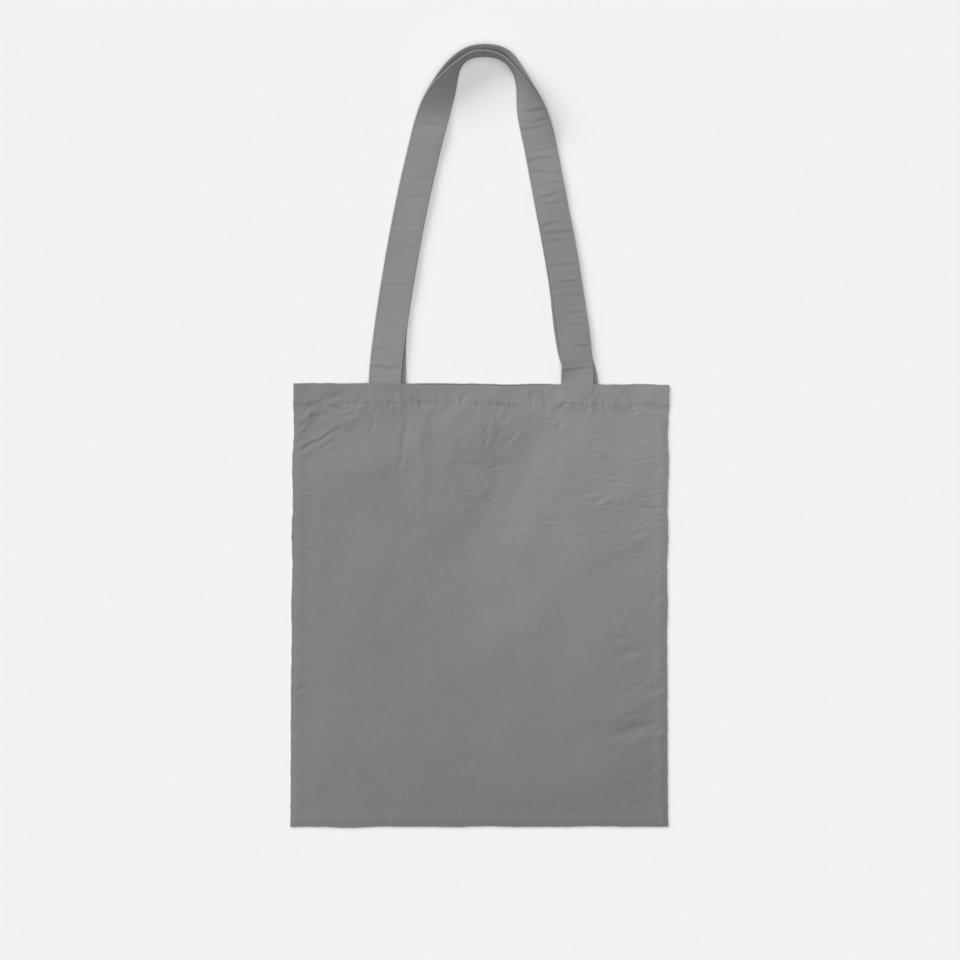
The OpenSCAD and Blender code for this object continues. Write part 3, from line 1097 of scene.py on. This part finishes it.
def overlock(name, x0, y0, x1, y1, inward, z, node):
    """Overlock stitching: slanting threads over a cut edge, and a row of stitches 3 mm from it."""
    length = math.hypot(x1 - x0, y1 - y0)
    way = np.array([(x1 - x0) / length, (y1 - y0) / length])
    inward = np.array(inward, float)
    starts, ends = [], []
    for at in np.arange(1, length - 3, 2.2):
        base = np.array([x0, y0]) + at * way
        starts.append((base - inward * 0.2).tolist())
        ends.append((base + inward * OVERLOCK_W + way * 1.1).tolist())
    first, last = np.array([x0, y0]) + inward * OVERLOCK_W, np.array([x1, y1]) + inward * OVERLOCK_W
    line = line_stitches(*first, *last, 2.4)
    piece = flat_row(name, starts + line[0], ends + line[1], z, width=0.4)
    finish_piece(piece, THREAD, "thread", node)
    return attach(piece, "front_side")


# ---------- build ----------

back_pieces = build_back_panel()
front_cloth = build_front_panel()
back_strap, back_frames = build_strap(False)
front_strap, front_frames = build_strap(True)

# Hem stitches of the back panel, in two halves
hem_left = panel_row("back_hem_stitches_left", -SIDE + 2, SPLIT, HEM_STITCH, 81)
hem_right = panel_row("back_hem_stitches_right", SPLIT + 0.7, SIDE - 2, HEM_STITCH, 82)
for piece in (hem_left, hem_right):
    finish_piece(piece, THREAD, "thread", "back_hem_thread")

tacks = []
for side, word in ((-1, "left"), (1, "right")):
    first, last = side * HALF_SPAN - TACK_REACH, side * HALF_SPAN + TACK_REACH
    low = panel_row(f"back_{word}_tack_low", first, last, LOW_TACK, 83 + side, 2.2)
    high = panel_row(f"back_{word}_tack_high", first, last, HIGH_TACK, 86 + side, 2.6)
    for piece in (low, high):
        finish_piece(piece, THREAD, "thread", f"back_{word}_tack_thread")
        tacks.append(piece)

# Stitches on the inner face of the front panel
strap_ends = (-HALF_SPAN + STRAP_SHIFT, HALF_SPAN + STRAP_SHIFT)
hem_rows = line_stitches(-SIDE + SEAM_W, HEM_STITCH, SIDE - SEAM_W, HEM_STITCH)
free = [(start, end) for start, end in zip(*hem_rows)
        if all(abs(start[0] + STITCH_LENGTH / 2 - x) > STRAP_W / 2 + 1 for x in strap_ends)]
front_hem = flat_row("front_hem_stitches", *zip(*free), HEM_T)
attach(finish_piece(front_hem, THREAD, "thread", "front_hem_thread"), "front_side")

for side, word in ((-1, "left"), (1, "right")):
    middle = side * HALF_SPAN + STRAP_SHIFT
    rows = ([], [])
    for y in (LOW_TACK, HIGH_TACK):
        for target, part in zip(rows, line_stitches(middle - TACK_REACH, y, middle + TACK_REACH, y, 2.6)):
            target.extend(part)
    tack = flat_row(f"front_{word}_tack", rows[0], rows[1], FRONT_ROOT_Z + STRAP_T)
    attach(finish_piece(tack, THREAD, "thread", f"front_{word}_tack_thread"), "front_side")
    x = side * (SIDE - SEAM_STITCH)
    seam = flat_row(f"{word}_seam_stitches", *line_stitches(x, BOTTOM + 2, x, HEM_Y), 2 * CLOTH_T)
    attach(finish_piece(seam, THREAD, "thread", f"{word}_seam_thread"), "front_side")
    x = side * (SIDE - SEAM_W)
    overlock(f"{word}_overlock", x, BOTTOM + SEAM_W, x, HEM_Y - 1.5, (side, 0), 2 * CLOTH_T,
             f"{word}_overlock_thread")

y = BOTTOM + SEAM_STITCH
seam = flat_row("bottom_seam_stitches", *line_stitches(-SIDE + 4, y, SIDE - 4, y), 2 * CLOTH_T)
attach(finish_piece(seam, THREAD, "thread", "bottom_seam_thread"), "front_side")
x, y = SIDE - SEAM_W, BOTTOM + SEAM_W
overlock("bottom_overlock", -SIDE + SEAM_W, y, x, y, (0, -1), 2 * CLOTH_T, "bottom_overlock_thread")

strap_rows = []
for strap, frames, front in (("front_strap", front_frames, True), ("back_strap", back_frames, False)):
    for edge, sign in (("inner", -1), ("outer", 1)):
        row = strap_row(f"{strap}_{edge}_stitches", frames, sign * STRAP_STITCH, front)
        finish_piece(row, THREAD, "thread", f"{strap}_{edge}_thread")
        strap_rows.append((row, front))

# ---------- what moves with what ----------

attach(front_cloth, "front_side")
for piece, side in [*back_pieces, (hem_left, -1), (hem_right, 1)]:
    follow_back(piece)
for piece in tacks:
    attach(piece, "back_side")
for piece, front in [(front_strap, True), (back_strap, False), *strap_rows]:
    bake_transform(piece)

# ---------- floor, light and camera ----------


# Half the floor's width, and how far it is under the bag, in metres
FLOOR_HALF = 6.0
FLOOR_DROP = 0.0002


def build_floor():
    """White paper under the bag."""
    mesh = bpy.data.meshes.new("floor")
    s = FLOOR_HALF
    mesh.from_pydata([(-s, -s, 0), (s, -s, 0), (s, s, 0), (-s, s, 0)], [], [(0, 1, 2, 3)])
    floor = bpy.data.objects.new("floor", mesh)
    bpy.context.scene.collection.objects.link(floor)
    material = bpy.data.materials.new("floor_paper")
    material.use_nodes = True
    shader = material.node_tree.nodes["Principled BSDF"]
    shader.inputs["Base Color"].default_value = (0.9, 0.9, 0.9, 1)
    shader.inputs["Roughness"].default_value = 1.0
    shader.inputs["Specular IOR Level"].default_value = 0.0
    floor.data.materials.append(material)
    floor.location.z = -FLOOR_DROP


def add_sun(name, strength, azimuth, elevation, spread):
    """A soft sun that shines from that azimuth (0 is +Y, clockwise from above) and elevation."""
    light = bpy.data.lights.new(name, "SUN")
    light.energy = strength
    light.angle = math.radians(spread)
    sun = bpy.data.objects.new(name, light)
    bpy.context.scene.collection.objects.link(sun)
    sun.rotation_euler = (math.radians(90 - elevation), 0, math.radians(180 - azimuth))


build_floor()
add_sun("key", 1.72, -45, 35, 36)
add_sun("overhead", 1.62, 0, 90, 34)
world = bpy.data.worlds.new("studio")
bpy.context.scene.world = world
world.use_nodes = True
world.node_tree.nodes["Background"].inputs["Color"].default_value = (1, 1, 1, 1)
world.node_tree.nodes["Background"].inputs["Strength"].default_value = 0.16

VIEW_W = 889.0
LENS = 200.0
SENSOR = 36.0
VIEW_X, VIEW_Y = -1.2, 116.0
camera_data = bpy.data.cameras.new("camera")
camera_data.lens = LENS
camera_data.sensor_width = SENSOR
camera_data.clip_end = 100
camera = bpy.data.objects.new("camera", camera_data)
bpy.context.scene.collection.objects.link(camera)
camera.location = (VIEW_X * MM, VIEW_Y * MM, VIEW_W * MM * LENS / SENSOR)
bpy.context.scene.camera = camera
bpy.context.scene.view_settings.view_transform = "Standard"
